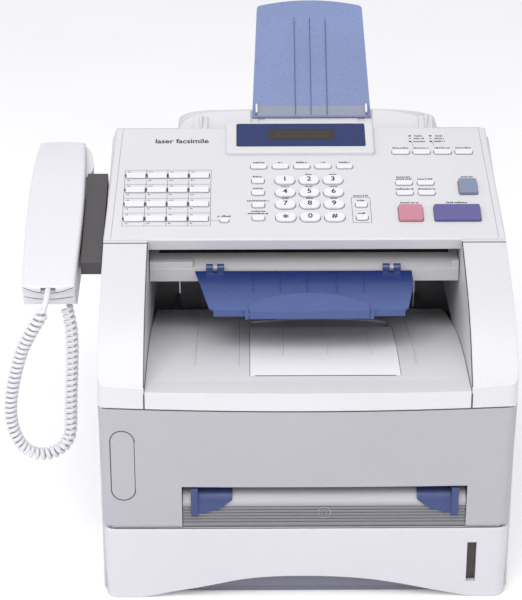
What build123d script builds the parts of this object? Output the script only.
from build123d import *
import os
from math import cos, sin, tan, radians

# Desktop laser fax machine with a corded handset on its left side.
# Modelled in millimetres, +Z up, the front faces -Y. While it is laid out, x = 0 is the middle of
# the body, y = 0 its front at the sides and z = 0 the underside of the paper tray, DESK_Z above
# the desk. At the end everything moves so that the origin is on the desk, under the middle of the
# machine's outer box, without the handset cord.

# ---------------------------------------------------------------- driving dimensions
HALF_W = 180.0          # half the width of the body
DEPTH = 365.0           # front at the sides to the rear wall
WALL = 3.0              # wall of the casings
GAP = 0.4               # gap between covers
FOOT_H = 3.0            # rubber feet
DESK_Z = -6.0           # the desk under the feet

CASSETTE_TOP = 64.4     # cassette front's upper edge
CASSETTE_HALF = 178.0   # half the width of its front
FRONT_T = 14.0          # depth of the cassette's front and the front cover
COVER_Z = 64.8          # front cover's lower edge
SEAM_Z = 183.0          # seam between the front cover and the upper covers
RIM_Z = 199.5           # front rim of the paper well
RIM_SAG = 8.5           # how far the front bulges at the seam
TOP_SAG = 6.0           # how far it bulges at the rim
WELL_HALF = 139.0       # half the width of the paper well

PANEL_Y = 124.3         # front edge of the control panel
PANEL_Z = 287.4
PANEL_SLOPE = 19.17     # slope of the control panel
PANEL_LEN = 159.6       # along the slope
PANEL_FRONT_HALF = 179.2
PANEL_BACK_HALF = 174.5
PANEL_DEPTH = 12.0      # depth of its skirt
PANEL_TOP = 2.5         # thickness of its top
PANEL_HINGE = (279.0, 334.0)
DOOR_HINGE = (363.5, 83.5)
FLAP_HINGE = (28.2, 198.9)

COVER_HINGE = (3.4, 68.0)
COVER_HINGE_R = 3.2
FEED_X0, FEED_X1, FEED_TOP = -108.8, 139.3, 107.2   # manual feed opening
FLAP_X0, FLAP_X1, FLAP_Y0, FLAP_Y1 = -49.0, 81.0, 27.0, 150.0   # flap in the well's floor

SUPPORT_X = 11.0        # middle of the document support
SUPPORT_SLOPE = 40.8
SUPPORT_FOOT = (305.0, 339.0)

HANDSET_X = -224.8      # middle line of the handset
CORD_D = 12.0           # outer diameter of the curly cord

panel_frame = Plane(
    origin=(0, PANEL_Y, PANEL_Z), x_dir=(1, 0, 0),
    z_dir=(0, -sin(radians(PANEL_SLOPE)), cos(radians(PANEL_SLOPE))))
support_frame = Plane(
    origin=(SUPPORT_X, *SUPPORT_FOOT), x_dir=(1, 0, 0),
    z_dir=(0, -sin(radians(SUPPORT_SLOPE)), cos(radians(SUPPORT_SLOPE))))


# ---------------------------------------------------------------- helpers
def block(x0, x1, y0, y1, z0, z1):
    """A box between two corners."""
    return Pos((x0 + x1) / 2, (y0 + y1) / 2, (z0 + z1) / 2) * Box(x1 - x0, y1 - y0, z1 - z0)


def side_profile(points, x0, x1):
    """A closed (y, z) outline drawn out along X."""
    face = make_face(Polyline(*points, close=True))
    return Pos(x0, 0, 0) * extrude(Plane.YZ * face, x1 - x0)


def side_curve(curve_points, line_points, x0, x1):
    """A (y, z) outline of one smooth curve and straight runs, drawn out along X."""
    edges = Curve() + [Spline(*curve_points)]
    edges += Polyline(curve_points[-1], *line_points, curve_points[0])
    return Pos(x0, 0, 0) * extrude(Plane.YZ * make_face(edges), x1 - x0)


def front_outline(points, y0, y1):
    """A closed (x, z) outline drawn out along Y."""
    face = make_face(Polyline(*points, close=True))
    return Pos(0, y1, 0) * extrude(Plane.XZ * face, y1 - y0)


def rod(x0, x1, y, z, r):
    """A cylinder along X."""
    return Pos((x0 + x1) / 2, y, z) * Rot(0, 90, 0) * Cylinder(r, x1 - x0)


def plan_face(half, sag, back, corner):
    """The machine seen from above: a bulging front, rounded front corners, a straight back."""
    edges = Curve() + [ThreePointArc((-half, 0), (0, -max(sag, 0.05)), (half, 0))]
    edges += Polyline((half, 0), (half, back), (-half, back), (-half, 0))
    face = make_face(edges)
    front = face.vertices().sort_by(Axis.Y)[:2]
    return fillet(front, corner)


def plan_body(levels, back, corner=8.0):
    """A body whose plan changes between (z, half width, front bulge) levels."""
    sections = [Pos(0, 0, z) * plan_face(half, sag, back, corner) for z, half, sag in levels]
    return loft(sections)


def round_slab(width, length, height, corner):
    """A flat slab with rounded corners, standing on its plane."""
    return extrude(RectangleRounded(width, length, corner), height)


def on_panel(x, s, shape, h=0.0):
    """Places a shape on the control panel, s up its slope and h above it."""
    return panel_frame * (Pos(x, s, h) * shape)


# ---------------------------------------------------------------- lower body
def base_casing():
    front, low = FRONT_T + GAP, DESK_Z + FOOT_H
    body = block(-HALF_W, HALF_W, front, DEPTH, low, SEAM_Z)
    body = fillet(body.edges().filter_by(Axis.Z).group_by(Axis.Y)[-1], 6)
    tunnel_half, floor_z, floor_t = 152.0, CASSETTE_TOP + 0.7, 3.5
    inner = HALF_W - WALL
    body -= block(-tunnel_half, tunnel_half, 0, 342, DESK_Z, floor_z)
    body -= block(-inner, inner, 0, DEPTH - WALL, floor_z + floor_t, SEAM_Z + 1)
    for side in (-1, 1):
        x0, x1 = sorted((side * (tunnel_half + WALL), side * inner))
        body -= block(x0, x1, front + WALL, DEPTH - WALL, low + WALL, floor_z + floor_t + 1)
        rail0, rail1 = sorted((side * (tunnel_half - 7), side * (tunnel_half + 1)))
        body += block(rail0, rail1, 30, 340, 27, 30)
        for row in range(9):
            z = 92 + 9 * row
            body -= block(side * HALF_W - 5, side * HALF_W + 5, 235, 325, z, z + 3.2)
    body -= block(-30, 30, 36, 68, floor_z - 1, floor_z + floor_t + 1)
    body -= block(-120.5, 120.5, DEPTH - 10, DEPTH + 5, DOOR_HINGE[1] - 2.1, 172.5)
    body -= rod(-123, 123, *DOOR_HINGE, 0.96)
    body -= block(142, 172, DEPTH - 10, DEPTH + 5, 85.5, 110.5)
    body -= block(-172, -156, DEPTH - 10, DEPTH + 5, 86.5, 120.5)
    return body


def rubber_feet():
    foot = Cylinder(9, FOOT_H)
    spots = [(x, y) for x in (-166, 166) for y in (40, 340)]
    return [Pos(x, y, DESK_Z + FOOT_H / 2) * foot for x, y in spots]


def front_shell():
    return plan_body([(COVER_Z, CASSETTE_HALF, 0), (SEAM_Z - GAP / 2, HALF_W, RIM_SAG)], FRONT_T, 10.0)


def front_cover():
    hinge_y, hinge_z = COVER_HINGE
    body = front_shell()
    pocket = plan_body([(60, CASSETTE_HALF - WALL, 0), (SEAM_Z - WALL, HALF_W - WALL, RIM_SAG)], 30)
    body -= Pos(0, WALL, 0) * (pocket - block(-200, 200, -50, 50, 50, 70))
    body -= block(-200, 200, -30, hinge_y, 60, hinge_z) + block(-200, 200, FRONT_T - 1, 30, 60, hinge_z + 1)
    body += rod(-170, 170, hinge_y, hinge_z, COVER_HINGE_R)
    body -= block(FEED_X0, FEED_X1, -30, 30, 60, FEED_TOP)
    return body - cover_plate_hole(0.0)


def cover_plate_hole(inset):
    width, height = 21.2 - 2 * inset, 68.3 - 2 * inset
    shape = extrude(SlotOverall(height, width, rotation=90), 40)
    return Pos(-159.4, 8, 127.65) * Rot(90, 0, 0) * shape


def cover_plate():
    return front_shell() & cover_plate_hole(0.5) & block(-200, 0, -20, 3.6, 60, 180)


def feed_table_profile(grow, x0, x1):
    """The manual feed table's rounded cross-section, grown outwards by a few tenths or more."""
    y, z, r, low = 1.5 - grow, 100.0 + grow, 13.0 + grow, COVER_HINGE[1] + 0.6
    middle = (y + r - r * cos(radians(45)), z - r + r * sin(radians(45)))
    edges = Curve() + [Line((y, low), (y, z - r)), ThreePointArc((y, z - r), middle, (y + r, z))]
    edges += Polyline((y + r, z), (32, z), (32, 86), (9, low), (y, low))
    return Pos(x0, 0, 0) * extrude(Plane.YZ * make_face(edges), x1 - x0)


def manual_feed_table():
    hinge_y, hinge_z = COVER_HINGE
    x0, x1 = FEED_X0 + GAP, FEED_X1 - GAP
    body = feed_table_profile(0, x0, x1) + rod(x0, x1, hinge_y + 0.4, hinge_z, COVER_HINGE_R - 0.4)
    for row in range(6):
        z = 69.8 + 3.0 * row
        body -= block(x0 - 1, x1 + 1, 0, 2.4, z, z + 1.1)
    return body


def feed_guide(side):
    """A blue side guide that wraps over the feed table's rounded front; side -1 is the left one."""
    middle = (FEED_X0 + FEED_X1) / 2 + 0.25
    reach, inner, fin = 116.5, 110.5, 80.5
    clear = feed_table_profile(0.4, -300, 300) + block(-300, 300, 4, 40, 60, 95)
    wrap = feed_table_profile(2.0, -300, 300) & block(-300, 300, -10, 26, 79, 120)
    foot = front_outline([(-inner - 1, 79), (-inner - 1, 106), (-fin, 106), (-fin, 93), (-92, 84)], -10, 30)
    plate = block(-reach, -inner, -2.2, 26, 78.5, 105.4) - clear
    body = ((wrap & foot) - clear) + plate
    if side > 0:
        body = mirror(body, Plane.YZ)
    return Pos(middle, 0, 0) * body


def paper_cassette():
    sections = [(DESK_Z + 0.4, CASSETTE_HALF - 1, 0.4), (CASSETTE_TOP, CASSETTE_HALF, 0.4)]
    front = plan_body(sections, FRONT_T, 10.0)
    top_edge = front.edges().group_by(Axis.Z)[-1].filter_by(lambda e: e.center().Y < 2).sort_by(Edge.length)
    front = fillet(top_edge[-1:], 3.0)
    low = DESK_Z - 1
    arch = [(-153, low), (-138, -4.4), (-120, -0.2), (-94, 4.6), (-58, 12.4), (-1, 16), (57, 12.4), (92, 6),
            (120, -0.2), (138, -4.0), (149, low)]
    edges = Curve() + [Spline(*arch), Polyline(arch[-1], (149, low - 5), (-153, low - 5), arch[0])]
    front -= Pos(0, 11, 0) * extrude(Plane.XZ * make_face(edges), 30)
    front -= block(-169, 169, 11, 20, 6, 60)
    front -= block(141.8, 150, -5, 20, 10, 49.6)
    tray = block(-138, 138, 9, 335, 0, 61) - block(-135, 135, 12, 332, 3, 70)
    for side in (-1, 1):
        x0, x1 = sorted((side * 137, side * 149))
        tray += block(x0, x1, 30, 335, 30.4, 33.4)
        keel0, keel1 = sorted((side * 120, side * 138))
        tray += block(keel0, keel1, 12, 330, DESK_Z + 1.4, 1)
    return front + tray


def lift_plate():
    plate = block(-112, 112, 22, 200, 7.2, 8.7)
    hinge = rod(-112, 112, 202, 8.0, 1.8)
    return plate + hinge + block(-112, 112, 198, 202, 7.2, 8.7)


def rear_door():
    y, z = DOOR_HINGE
    door = block(-120, 120, DEPTH - WALL, DEPTH, z - 1.2, 172) + rod(-122.6, 122.6, y, z, 0.9)
    for k in range(4):
        door += block(-100 + 55 * k, -97 + 55 * k, DEPTH - 9, DEPTH - WALL, 95, 165)
    grip = block(-22, 22, DEPTH - 1.4, DEPTH + 1, 156, 168)
    return door - grip


# ---------------------------------------------------------------- upper covers
upper_levels = [(SEAM_Z + GAP / 2, HALF_W, RIM_SAG), (RIM_Z, HALF_W - 0.6, TOP_SAG)]
pillar_curve = [(-9.0, 196.5), (0.0, 204.0), (11.0, 216.0), (24.0, 231.0), (42.0, 246.5),
                (68.0, 262.0), (97.0, 275.6), (PANEL_Y - 0.6, 287.0)]


def panel_z(y, depth=0.0):
    """Height of the control panel's plane at y, or of the plane that far under it."""
    return PANEL_Z + (y - PANEL_Y) * tan(radians(PANEL_SLOPE)) - depth / cos(radians(PANEL_SLOPE))


def upper_envelope():
    low = plan_body(upper_levels, DEPTH)
    z, half, sag = upper_levels[1]
    high = plan_body([(z, half, sag), (345, half - 1, sag)], DEPTH)
    return low + high


def side_cover(side):
    x0, x1 = (WELL_HALF + 0.6, HALF_W + 1)
    skirt = PANEL_DEPTH + GAP
    back = 280.0
    low = SEAM_Z + GAP / 2
    rest = [(PANEL_Y - 0.6, panel_z(PANEL_Y, skirt)), (back, panel_z(back, skirt)), (back, low), (-9, low)]
    body = side_curve(pillar_curve, rest, x0, x1)
    inner_curve = [(y + 3.6 - 0.02 * y, z - 3.0) for y, z in pillar_curve[1:]]
    inner_rest = [(PANEL_Y - 3, 270.0), (back - WALL, panel_z(back, skirt) - 3.4), (back - WALL, 150),
                  (inner_curve[0][0], 150)]
    body -= side_curve(inner_curve, inner_rest, x0 + WALL, HALF_W - WALL)
    body &= upper_envelope()
    body -= block(154, 162, back - 10, back + 1, 316, 340)
    if side < 0:
        body = mirror(body, Plane.YZ)
    return body


well_curve = [(18.0, RIM_Z), (40.0, 200.8), (63.0, 201.0), (127.0, 194.0), (203.0, 176.0), (269.0, 154.0)]


def well_shell(drop, thick, x0, x1, y_end=None):
    """The curved floor of the paper well, as a sheet that lies a little under its surface."""
    top = [(y, z - drop) for y, z in well_curve]
    low = [(y, z - drop - thick) for y, z in reversed(well_curve)]
    edges = Curve() + [Spline(*top), Line(top[-1], low[0]), Spline(*low), Line(low[-1], top[0])]
    return Pos(x0, 0, 0) * extrude(Plane.YZ * make_face(edges), x1 - x0)


def output_tray_cover():
    half = WELL_HALF
    floor = well_shell(0, WALL, -half, half)
    rim = block(-half, half, -20, 18.5, SEAM_Z + GAP / 2, RIM_Z)
    rim -= block(-half + WALL, half - WALL, -2, 30, 150, RIM_Z - WALL)
    rim &= upper_envelope()
    body = rim + floor
    for x in (-half, half - 3):
        body += well_shell(WALL - 0.1, 9, x, x + 3)
    body -= block(FLAP_X0 - 0.4, FLAP_X1 + 0.4, FLAP_Y0 - 0.4, FLAP_Y1 + 0.4, 150, 230)
    body -= rod(FLAP_X0 - 3, FLAP_X1 + 3, *FLAP_HINGE, 0.76)
    ledge = well_shell(2.9, 1.6, FLAP_X0 - 6, FLAP_X1 + 6)
    body += ledge & block(-100, 100, FLAP_Y0 - 6, FLAP_Y1 + 2, 150, 230)
    body += well_shell(2.9, 4.5, FLAP_X0 - 6, FLAP_X1 + 6) & block(-100, 100, FLAP_Y1, FLAP_Y1 + 44, 150, 230)
    ramp = side_profile([(FLAP_Y1, 184.6), (FLAP_Y1 + 42, 178.9), (FLAP_Y1 + 42, 230), (FLAP_Y1, 230)],
                        FLAP_X0 + 1, FLAP_X1 - 2)
    body -= ramp & (Pos((FLAP_X0 + FLAP_X1) / 2, 18, 200) * Cylinder(172, 100))
    for x in (-97, -59, 96):
        body += (well_shell(-0.5, 1.0, x - 0.5, x + 0.5) & block(-200, 200, 45, 262, 100, 230))
    for x in (-20, 19, 57.6):
        body += (well_shell(-0.5, 1.0, x - 0.5, x + 0.5) & block(-200, 200, FLAP_Y1 + 41, 262, 100, 230))
    return body


def output_flap():
    body = well_shell(0, 2.3, FLAP_X0, FLAP_X1) & block(-200, 200, FLAP_Y0, FLAP_Y1, 150, 230)
    body += rod(FLAP_X0 - 2.6, FLAP_X1 + 2.6, *FLAP_HINGE, 0.7)
    for x in (-20, 19, 57.6):
        rib = well_shell(-0.5, 1.0, x - 0.5, x + 0.5)
        body += rib & block(-200, 200, FLAP_Y0 + 38, FLAP_Y1 - 1, 150, 230)
    return body


def rear_housing():
    low = SEAM_Z + GAP / 2
    outer = [(281, low), (281, 315), (288, 323.4), (345, 315.6), (DEPTH - 4, 303), (DEPTH, 297), (DEPTH, low)]
    inner = [(284, 170), (284, 313.4), (289.4, 320), (343, 312.6), (DEPTH - 6, 301.5), (DEPTH - 3, 296),
             (DEPTH - 3, 170)]
    body = side_profile(outer, -HALF_W + 1, HALF_W - 1) - side_profile(inner, -HALF_W + 4, HALF_W - 4)
    body -= block(-118, 118, 270, 290, low - 1, low + 14)
    for side in (-1, 1):
        y, z = PANEL_HINGE
        ear_x = side * 158
        body += rod(ear_x - 2, ear_x + 2, y, z, 3.4)
        ear = [(y - 2.4, z - 2.4), (y + 2, z + 2.6), (300, 321), (286, 317)]
        body += side_profile(ear, ear_x - 2, ear_x + 2)
        pin = rod(ear_x - 9, ear_x + 9, y, z, 1.6)
        body += pin
        for row in range(7):
            x = side * (60 + 12 * row)
            body -= block(x - 1.8, x + 1.8, DEPTH - 6, DEPTH + 2, 225, 280)
    return body


def document_tray():
    x0, x1 = -117.0, 131.5
    section = [(288.3, 326), (289.5, 329.5), (309, 346), (312, 346), (345, 319.5), (345, 316.0),
               (288.3, 323.8)]
    body = side_profile(section, x0, x1)
    brow = [(x0, 331), (-112, 337), (-101, 342.4), (-76, 344.8), (-40, 346.6), (11, 347.5), (62, 346.6),
            (92, 344.6), (112, 341.4), (125, 336.4), (x1, 331)]
    edges = Curve() + [Spline(*brow), Polyline(brow[-1], (x1, 300), (x0, 300), brow[0])]
    body &= Pos(0, 360, 0) * extrude(Plane.XZ * make_face(edges), 90)
    body -= support_frame * (Pos(0, 10, 20 - 0.3) * Box(117, 90, 40))
    for side in (-1, 1):
        for lift, height in ((1.1, 3.0), (-0.7, 1.2)):
            body -= support_frame * (Pos(side * 48, -4, lift) * Box(6.7, 12, height))
    return body


def document_support():
    base_half, top_half, length, rise = 57.0, 51.7, 126.5, 6.7
    edges = Curve() + [Polyline((-top_half, length), (-base_half, 0), (base_half, 0), (top_half, length))]
    edges += ThreePointArc((top_half, length), (0, length + rise), (-top_half, length))
    face = make_face(edges)
    sheet = extrude(fillet(face.vertices().sort_by(Axis.Y)[-2:], 4.5), 2.2)
    for x in (-15.3, -1.0, 15.0):
        sheet += Pos(x, 56, 2.4) * Box(0.9, 110, 0.9)
    for side in (-1, 1):
        sheet += Pos(side * 53, 9, 3.2) * Box(2.2, 12, 2.4)
    return support_frame * sheet


def document_guide(side):
    x = SUPPORT_X + 1.5 + side * 107.5
    base = side_profile([(291.5, 331.6), (302.5, 340.9), (300.9, 342.8), (289.9, 333.5)], x - 6.5, x + 6.5)
    fin = side_profile([(290.3, 333.8), (300.9, 342.8), (299.5, 345.5), (294, 343)], x - 1.5, x + 1.5)
    return base + fin


# ---------------------------------------------------------------- scanner and document exit tray
TRAY_PIN = (126.0, 259.6)
TRAY_PIN_R = 1.6
TRAY_LEAN = 13.0
clip_middles = (-80.0, 78.0)
FEED_ROLLER = (242.2, 289.2)

tray_plane = Plane(
    origin=(0, TRAY_PIN[0], TRAY_PIN[1] - 3.4), x_dir=(1, 0, 0),
    z_dir=(0, -sin(radians(TRAY_LEAN)), cos(radians(TRAY_LEAN))))


def scanner_frame():
    half = WELL_HALF - 0.2
    slope = tan(radians(PANEL_SLOPE))
    bed = [(141, 262), (274, 262 + 133 * slope)]
    outline = [(130, 244.5), (130, 256.6), *bed, (274, 297), (262, 290), (150, 251), (150, 244.5)]
    body = side_profile(outline, -half, half)
    body += block(-half, -100, 130.6, 139, 256, 263)
    body += block(132, half, 130.6, 139, 256, 263.5)
    for x in clip_middles:
        y, z = TRAY_PIN
        web = [(y - 1, z - 1.9), (y - 1, z + 1.9), (y + 5, z + 1.9), (y + 5, 254), (y + 3, z - 1.9)]
        body += side_profile(web, x - 1.6, x + 1.6)
        body += rod(x - 8, x + 8, y, z, TRAY_PIN_R)
    body -= panel_frame * block(-112.5, 112.5, 69, 88, -60, -22)
    body -= panel_frame * block(-131, 131, 15.5, 88, -32.3, -20)
    roller_y, roller_z = FEED_ROLLER
    body -= rod(-62, 62, roller_y, roller_z, 9.5)
    body -= rod(-80, 80, roller_y, roller_z, 2.55)
    return body


def image_sensor():
    guide = block(-130.5, 130.5, 16, 87.6, -32.2, -29.6)
    return panel_frame * (guide + block(-112, 112, 69.4, 87.6, -44, -32))


def document_feed_roller():
    y, z = FEED_ROLLER
    body = rod(-79, 79, y, z, 2.5)
    for x in (-50, -16, 16, 50):
        body += rod(x - 9, x + 9, y, z, 9.0)
    return body


def tray_rod(x0, x1, radius):
    """A rod along the axis that the exit tray's extension turns on, in the tray's own frame."""
    return Pos((x0 + x1) / 2, -60.6, -4.6) * Rot(0, 90, 0) * Cylinder(radius, x1 - x0)


def exit_tray():
    y, z = TRAY_PIN
    outline = Polyline((-98, 0), (96, 0), (96.5, -20), (90, -54), (86, -57.5), (-80, -57.5), (-85, -54),
                       close=True)
    sheet = extrude(make_face(outline), -2.0)
    for x0, x1 in ((-81, -50), (56, 87)):
        sheet += block(x0, x1, -57.5, -55.5, -7.5, 0)
    sheet += block(-50, 56, -57.5, -55.5, -5.0, 0)
    for x0, x1 in ((-53.4, -50), (56, 59.4)):
        sheet += block(x0, x1, -62.6, -55.5, -7.0, -0.6)
        sheet -= tray_rod(x0 - 1, x1 + 1, 1.06)
    for x in (-46, -22, 2, 28, 52):
        sheet += block(x - 0.4, x + 0.4, -33, -3, 0, 0.5)
    body = tray_plane * sheet
    for x in clip_middles:
        for off in (-5, 5):
            x0, x1 = x + off - 3, x + off + 3
            body += rod(x0, x1, y, z, 3.3)
            body += side_profile([(y - 3.3, z), (y - 3.3, z - 5.2), (y - 0.5, z - 5.0), (y, z - 2)], x0, x1)
            body -= rod(x0 - 1, x1 + 1, y, z, TRAY_PIN_R + 0.06)
    return body


def exit_tray_extension():
    left, right = -49.6, 55.6
    edges = Curve() + [Polyline((left, -52), (left, -58), (right, -58), (right, -52))]
    edges += ThreePointArc((right, -52), (3, -35.5), (left, -52))
    sheet = Pos(0, 0, 0.5) * extrude(make_face(edges), 1.6)
    lip = block(left, right, -62.4, -60.0, -6.6, 2.1) + block(left, right, -62.4, -57, 0.5, 2.1)
    axle = tray_rod(left, right, 1.9) + tray_rod(left - 3.2, right + 3.2, 1.0)
    return tray_plane * (sheet + lip + axle)


# ---------------------------------------------------------------- control panel
dial_columns = (-16.4, 5.7, 27.7)
dial_rows = (80.9, 63.4, 46.7, 29.0)
DIAL_KEY = (18.2, 11.2, 5.5)
dial_names = ("1", "2", "3", "4", "5", "6", "7", "8", "9", "star", "0", "hash")
one_touch_columns = (-153.2, -133.6, -114.3, -94.8)
one_touch_rows = (88.7, 68.4, 48.5, 28.2)
big_keys = {"stop_key": (96.3, 33.8, 21.5, 20.4), "start_key": (138.3, 33.8, 41.5, 20.5),
            "copy_key": (150.8, 70.6, 16.5, 19.6)}
function_spots = (
    [(x, 101.3, 14.7, 6.0) for x in (-40.2, -20.2, -0.3, 19.3, 39.2)]
    + [(-41.0, s, 11.2, 7.0) for s in (80.8, 63.9, 46.7, 28.9)]
    + [(52.4, s, 10.4, 7.0) for s in (46.7, 28.9)]
    + [(x, 122.1, 16.0, 6.0) for x in (92.4, 111.8, 131.6, 151.3)]
    + [(x, s, 15.0, 6.0) for x in (92.7, 112.7) for s in (77.1, 62.9)]
    + [(-71.6, 25.5, 8.0, 5.0)])
DISPLAY = (-0.5, 147.5, 121.0, 38.2)


def key_cap(width, length, height, corner, flange=0.7):
    """A key: a rounded cap through the panel, with a collar under it that keeps it in."""
    cap = Pos(0, 0, -3.6) * round_slab(width, length, height + 3.6, corner)
    cap = fillet(cap.faces().sort_by(Axis.Z)[-1].edges(), 0.6)
    collar = Pos(0, 0, -3.9) * round_slab(width + 2 * flange, length + 2 * flange, 1.2, corner)
    return cap + collar


def key_hole(width, length, corner):
    return Pos(0, 0, -20) * round_slab(width + 0.6, length + 0.6, 40, corner + 0.3)


def panel_wedge(lift, inset, top_cut=0.0):
    """The control panel's outline, narrower at its back, extruded from its underside."""
    face = make_face(Polyline(
        (-PANEL_FRONT_HALF + inset, inset), (PANEL_FRONT_HALF - inset, inset),
        (PANEL_BACK_HALF - inset, PANEL_LEN - inset), (-PANEL_BACK_HALF + inset, PANEL_LEN - inset),
        close=True))
    return Pos(0, 0, lift) * extrude(face, -lift - top_cut)


def console():
    shell = panel_wedge(-PANEL_DEPTH - 6, 0)
    shell = chamfer(shell.faces().sort_by(Axis.Z)[-1].edges(), 1.2)
    body = shell - panel_wedge(-PANEL_DEPTH - 20, WALL, PANEL_TOP)
    frame = Pos(-1.4, 140.5, 0) * round_slab(138.2, 45.5, 4.2, 2.5)
    body += chamfer(frame.faces().sort_by(Axis.Z)[-1].edges(), 0.8)
    body -= Pos(DISPLAY[0], DISPLAY[1] - 4, 2.2) * round_slab(DISPLAY[2], 34.6, 9, 2.0)
    body -= Pos(DISPLAY[0], DISPLAY[1] - 3.6, -10) * round_slab(64, 18, 30, 1.0)
    for row in dial_rows:
        for column in dial_columns:
            body -= Pos(column, row, 0) * key_hole(*DIAL_KEY)
    for row in one_touch_rows:
        for column in one_touch_columns:
            body -= Pos(column, row, 0) * key_hole(17.5, 7.0, 1.2)
    for x, s, width, length in big_keys.values():
        body -= Pos(x, s, 0) * key_hole(width, length, 1.8)
    for x, s, width, length in function_spots:
        body -= Pos(x, s, 0) * key_hole(width, length, 2.2)
    body = panel_frame * body
    body -= block(-200, 200, 60, PANEL_Y, 200, 400)
    skirt_front, skirt_back = PANEL_Y - 5, 300
    skirt_cut = side_profile([(skirt_front, panel_z(skirt_front, PANEL_DEPTH)),
                              (skirt_back, panel_z(skirt_back, PANEL_DEPTH)),
                              (skirt_back, 200), (skirt_front, 200)], -300, 300)
    body -= skirt_cut
    body -= block(-200, 200, 275.2, 300, 300, 338.5)
    y, z = PANEL_HINGE
    for side in (-1, 1):
        for off in (-6, 6):
            x0, x1 = side * 158 + off - 3, side * 158 + off + 3
            body += rod(x0, x1, y, z, 3.4) + block(x0, x1, 273, y, z - 3.3, z + 2.8)
            body -= rod(x0 - 1, x1 + 1, y, z, 1.66)
    return body


def display_lens():
    lens = round_slab(DISPLAY[2] - 0.8, 33.8, 1.8, 1.6)
    return on_panel(DISPLAY[0], DISPLAY[1] - 4, lens, 2.3)


def panel_board():
    board = block(-165, 165, 14, 124, -7.8, -6.2)
    board += block(-31.5, 30.5, 135.6, 152.2, -6.2, 1.6) + block(-40, 40, 120, 154, -7.8, -6.2)
    return panel_frame * board


def dial_key(index):
    row, column = divmod(index, 3)
    width, length, corner = DIAL_KEY
    cap = key_cap(width, length, 2.2, corner)
    return on_panel(dial_columns[column], dial_rows[row], cap)


def key_group(spots, height, corner):
    keys = []
    for x, s, width, length in spots:
        keys.append(on_panel(x, s, key_cap(width, length, height, corner)))
    return keys


# ---------------------------------------------------------------- print engine and electronics
DRUM = (132.0, 100.0)
HEAT_ROLLER = (322.0, 118.0)
PRESSURE_ROLLER = (297.6, 118.0)
PICKUP = (52.0, 73.2)


def drum_unit():
    y, z = DRUM
    body = block(-128, 128, 48, 150, 78, 84) - block(-40, 40, 40, 69, 70, 90)
    for side in (-1, 1):
        x0, x1 = sorted((side * 124, side * 128))
        body += block(x0, x1, 48, 152, 78, 146)
    body += block(-128, 128, 48, 51, 90, 146) + block(-128, 128, 51, 62, 143, 146)
    body -= rod(-140, 140, y, z, 4.05)
    return body


def drum_roller():
    y, z = DRUM
    gear = rod(118, 122.6, y, z, 14)
    for k in range(30):
        gear += Pos(0, y, z) * Rot(12 * k, 0, 0) * block(118, 122.6, -0.8, 0.8, 13, 15.6)
    return rod(-116, 116, y, z, 15) + rod(-131, 131, y, z, 4) + gear


def toner_cartridge():
    section = [(56, 88), (104, 88), (112, 96), (112, 112), (96, 138), (62, 140), (56, 132)]
    body = side_profile(section, -118, 118)
    body += block(-50, 50, 66, 92, 137, 142)
    return body


def laser_unit():
    body = block(-100, 100, 66, 186, 151, 171)
    body += block(-60, 60, 90, 160, 171, 173.5)
    body -= block(-104, 104, 150, 200, 149, 153)
    return body


def fuser_frame():
    body = block(-124, 124, 283.5, 350, 78, 82) + block(-124, 124, 346, 350, 78, 120)
    for side in (-1, 1):
        x0, x1 = sorted((side * 119, side * 124))
        body += block(x0, x1, 283.5, 350, 78, 136)
    for y, z in (HEAT_ROLLER, PRESSURE_ROLLER):
        body -= rod(-140, 140, y, z, 5.05)
    return body


def fuser_roller(spot):
    y, z = spot
    return rod(-116, 116, y, z, 12) + rod(-127, 127, y, z, 5)


def pickup_roller():
    y, z = PICKUP
    return rod(-20, 20, y, z, 13) + rod(-34, 34, y, z, 3.5)


def power_supply():
    board = block(170.6, 172.2, 90, 330, 74, 160)
    board += block(146, 170.6, 120, 165, 84, 124) + block(152, 170.6, 190, 230, 90, 118)
    for k in range(3):
        board += Pos(160, 252 + 24 * k, 96) * Rot(0, 90, 0) * Cylinder(9, 22)
    inlet = block(142.5, 171.5, 330, DEPTH + 0.4, 86, 110) - block(146, 168, 345, DEPTH + 5, 90, 106)
    for x, z in ((151, 96), (163, 96), (157, 101)):
        inlet += block(x - 1, x + 1, 340, 360, z - 2, z + 2)
    return board + inlet


def main_board():
    board = block(-172.2, -170.6, 90, 334, 74, 160)
    for y0, z0, size, height in ((110, 90, 32, 4), (160, 110, 26, 3), (210, 84, 20, 3), (250, 110, 34, 8)):
        board += block(-170.7, -170.6 + height, y0, y0 + size, z0, z0 + size)
    for z in (87, 105):
        jack = block(-171.5, -156.5, 334, DEPTH + 0.3, z, z + 15)
        board += jack - block(-169.5, -158.5, 350, DEPTH + 5, z + 3, z + 12)
        board += block(-172.2, -170.6, 330, 350, z, z + 15)
    return board


def main_motor():
    y, z = 216.0, 118.0
    body = rod(-158, -136, y, z, 22) + block(-160, -158, y - 32, y + 32, z - 30, z + 30)
    return body + rod(-162.5, -160, y, z, 8)


# ---------------------------------------------------------------- handset, cradle and cord
HANDSET_S0, HANDSET_S1 = -57.0, 150.5
SPLIT_H = -12.0         # where the handset's upper shell meets the cradle's rim
cup_spans = ((-50, -14), (103, 139))


def slope_profile(points, x0, x1):
    """A closed (s, h) outline in the panel's own frame, drawn out along X."""
    face = make_face(Polyline(*points, close=True))
    return Pos(x0, 0, 0) * extrude(Plane.YZ * face, x1 - x0)


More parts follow.
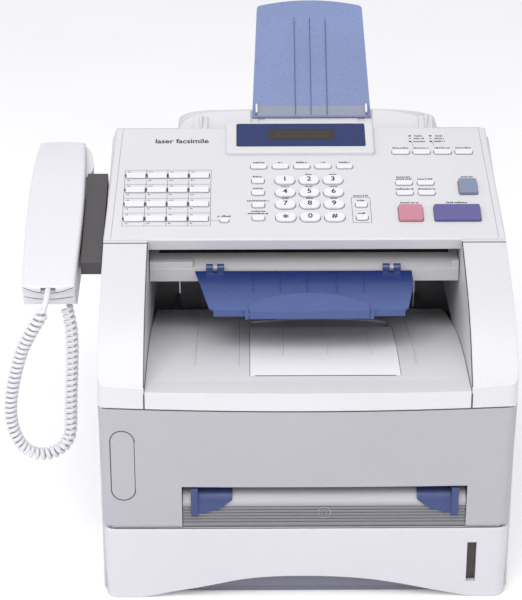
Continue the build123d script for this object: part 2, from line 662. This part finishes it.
def handset_plan(grow):
    """The handset seen square on: almost straight sides, narrower and rounder at the ear end."""
    s0, s1 = HANDSET_S0 - grow, HANDSET_S1 + grow
    side = [(23.2 + grow, s0 + 4), (24.9 + grow, 10), (24.9 + grow, 80), (21.2 + grow, s1 - 2.6)]
    left = [(-x, s) for x, s in reversed(side)]
    edges = Curve() + [Spline(*side)]
    edges += ThreePointArc(side[-1], (0, s1), left[0])
    edges += Spline(*left)
    edges += ThreePointArc(left[-1], (0, s0), side[0])
    return make_face(edges)


def handset():
    top = [(HANDSET_S0 - 3, -6.5), (-40, -3.2), (45, 0), (125, -3.0), (HANDSET_S1 + 3, -8.8)]
    low = [(HANDSET_S1 + 3, SPLIT_H), (HANDSET_S0 - 3, SPLIT_H)]
    edges = Curve() + [Spline(*top), Polyline(top[-1], *low, top[0])]
    body = Pos(-40, 0, 0) * extrude(Plane.YZ * make_face(edges), 80)
    body &= Pos(0, 0, -70) * extrude(handset_plan(0), 90)
    body = fillet(body.faces().sort_by(Axis.Z)[-1].edges(), 3.2)
    body += Pos(0, 0, -20) * extrude(handset_plan(-4.2), 20 + SPLIT_H)
    for s0, s1 in cup_spans:
        body += Pos(0, (s0 + s1) / 2, -30) * round_slab(36, s1 - s0, 12, 12)
    body -= Pos(0, HANDSET_S0 + 1.5, -8.6) * Box(13, 12, 4.4)
    return panel_frame * (Pos(HANDSET_X, 0, 0) * body)


def handset_cradle():
    body = Pos(0, 0, -38) * extrude(handset_plan(-0.4), 38 + SPLIT_H - 0.4)
    flank = Spline((19, 98), (25.4, 103.4), (29.6, 112), (30, 122), (28.4, 134), (24, 145), (17, 149.6))
    flank += Line(flank @ 1, flank @ 0)
    body += Pos(0, 0, -38) * extrude(make_face(flank), 38 + SPLIT_H - 0.4)
    side_view = [(-60, -5), (-60, -24.7), (-57, -24.7), (-42, -38), (133, -38), (151, -25), (153, -5)]
    body &= slope_profile(side_view, -60, 60)
    body -= Pos(0, 0, -20.5) * extrude(handset_plan(-3.4), 30)
    for s0, s1 in cup_spans:
        body -= Pos(0, (s0 + s1) / 2, -31.5) * round_slab(38, s1 - s0 + 2, 30, 13)
    body -= Pos(8, 92, -24.5) * Box(6.8, 8.8, 19)
    body -= block(14.0, 60, -0.4, 84.4, -34.3, -25.7)
    return panel_frame * (Pos(HANDSET_X, 0, 0) * body)


def hook_switch():
    stem = Pos(8, 92, -26.2) * Box(6, 8, 11.6)
    return panel_frame * (Pos(HANDSET_X, 0, 0) * stem)


def handset_bracket():
    plate = block(-198.6, -HALF_W + 0.1, -21.6, 102, -21.6, -8)
    tongue = block(-210, -186, 0, 84, -34, -21.6) - block(-230, -198.6, -50, 110, -26, -10)
    return panel_frame * (plate + tongue)


def corner_radii(points):
    """For each corner of a route, the largest arc that its two runs leave room for."""
    radii = []
    for a, b, c in zip(points, points[1:], points[2:]):
        one, two = Vector(*b) - Vector(*a), Vector(*c) - Vector(*b)
        half_turn = radians(one.get_angle(two)) / 2
        radii.append(0.45 * min(one.length, two.length) / tan(half_turn))
    return radii


cord_route = [
    (-224.7, 72.5, 261.6), (-224.9, 65.4, 259.1), (-226.3, 58.8, 253.4), (-230.0, 55.8, 244.6),
    (-238.0, 56.6, 231.0), (-248.0, 60.0, 212.0), (-254.8, 63.0, 190.0), (-260.5, 65.5, 165.5),
    (-263.2, 68.5, 141.5), (-260.0, 71.0, 119.8), (-251.5, 73.5, 103.7), (-237.0, 76.0, 97.1),
    (-221.5, 78.5, 100.7), (-211.3, 81.0, 113.0), (-210.5, 83.0, 131.5), (-209.6, 85.0, 155.0),
    (-208.0, 87.5, 180.0), (-206.9, 89.5, 203.5), (-207.8, 91.0, 222.0), (-211.2, 92.3, 237.2)]


def handset_cord():
    """The curly cord as one tube of the coil's outer diameter, from the handset's jack to the cradle."""
    radii = corner_radii(cord_route)
    print("cord radii", [round(r, 1) for r in radii])
    path = FilletPolyline(*cord_route, radius=radii)
    print("cord length", round(path.length, 1))
    start = Plane(origin=path @ 0, z_dir=path % 0)
    return sweep(start * Circle(CORD_D / 2), path=path)


# ---------------------------------------------------------------- the machine
def build_all():
    parts = {
        "base_casing": base_casing(),
        "rubber_feet": rubber_feet(),
        "front_cover": front_cover(),
        "cover_plate": cover_plate(),
        "manual_feed_table": manual_feed_table(),
        "feed_guide_left": feed_guide(-1),
        "feed_guide_right": feed_guide(1),
        "paper_cassette": paper_cassette(),
        "lift_plate": lift_plate(),
        "rear_door": rear_door(),
        "left_side_cover": side_cover(-1),
        "right_side_cover": side_cover(1),
        "output_tray_cover": output_tray_cover(),
        "output_flap": output_flap(),
        "rear_housing": rear_housing(),
        "document_tray": document_tray(),
        "document_support": document_support(),
        "document_guide_left": document_guide(-1),
        "document_guide_right": document_guide(1),
        "scanner_frame": scanner_frame(),
        "image_sensor": image_sensor(),
        "document_feed_roller": document_feed_roller(),
        "exit_tray": exit_tray(),
        "exit_tray_extension": exit_tray_extension(),
        "console": console(),
        "display_lens": display_lens(),
        "panel_board": panel_board(),
        "one_touch_keys": key_group(
            [(x, s, 17.5, 7.0) for s in one_touch_rows for x in one_touch_columns], 1.6, 1.2),
        "function_keys": key_group(function_spots, 1.6, 2.2),
        "drum_unit": drum_unit(),
        "drum_roller": drum_roller(),
        "toner_cartridge": toner_cartridge(),
        "laser_unit": laser_unit(),
        "fuser_frame": fuser_frame(),
        "heat_roller": fuser_roller(HEAT_ROLLER),
        "pressure_roller": fuser_roller(PRESSURE_ROLLER),
        "pickup_roller": pickup_roller(),
        "power_supply": power_supply(),
        "main_board": main_board(),
        "main_motor": main_motor(),
        "handset": handset(),
        "handset_cradle": handset_cradle(),
        "hook_switch": hook_switch(),
        "handset_bracket": handset_bracket(),
        "handset_cord": handset_cord(),
    }
    for index, name in enumerate(dial_names):
        parts["key_" + name] = dial_key(index)
    for name, spot in big_keys.items():
        parts[name] = key_group([spot], 3.4, 1.8)
    return parts


def as_solids(shape):
    """The separate solids of a part, which may be one shape or a list of them."""
    pieces = shape if isinstance(shape, list) else [shape]
    return [solid for piece in pieces for solid in piece.solids()]


def origin_shift(parts):
    """The move that puts the origin under the middle of the machine's box, cord left out."""
    solids = [solid for name, shape in parts.items() if name != "handset_cord" for solid in as_solids(shape)]
    boxes = [solid.bounding_box() for solid in solids]
    x0, x1 = min(box.min.X for box in boxes), max(box.max.X for box in boxes)
    y0, y1 = min(box.min.Y for box in boxes), max(box.max.Y for box in boxes)
    return Vector(-(x0 + x1) / 2, -(y0 + y1) / 2, -DESK_Z)


machine = build_all()
shift = origin_shift(machine)
print("shift", shift)
os.makedirs("parts", exist_ok=True)
for part_name, part_shape in machine.items():
    part_solids = as_solids(part_shape)
    body = part_solids[0] if len(part_solids) == 1 else Compound(part_solids)
    export_step(Pos(*shift) * body, f"parts/{part_name}.step")
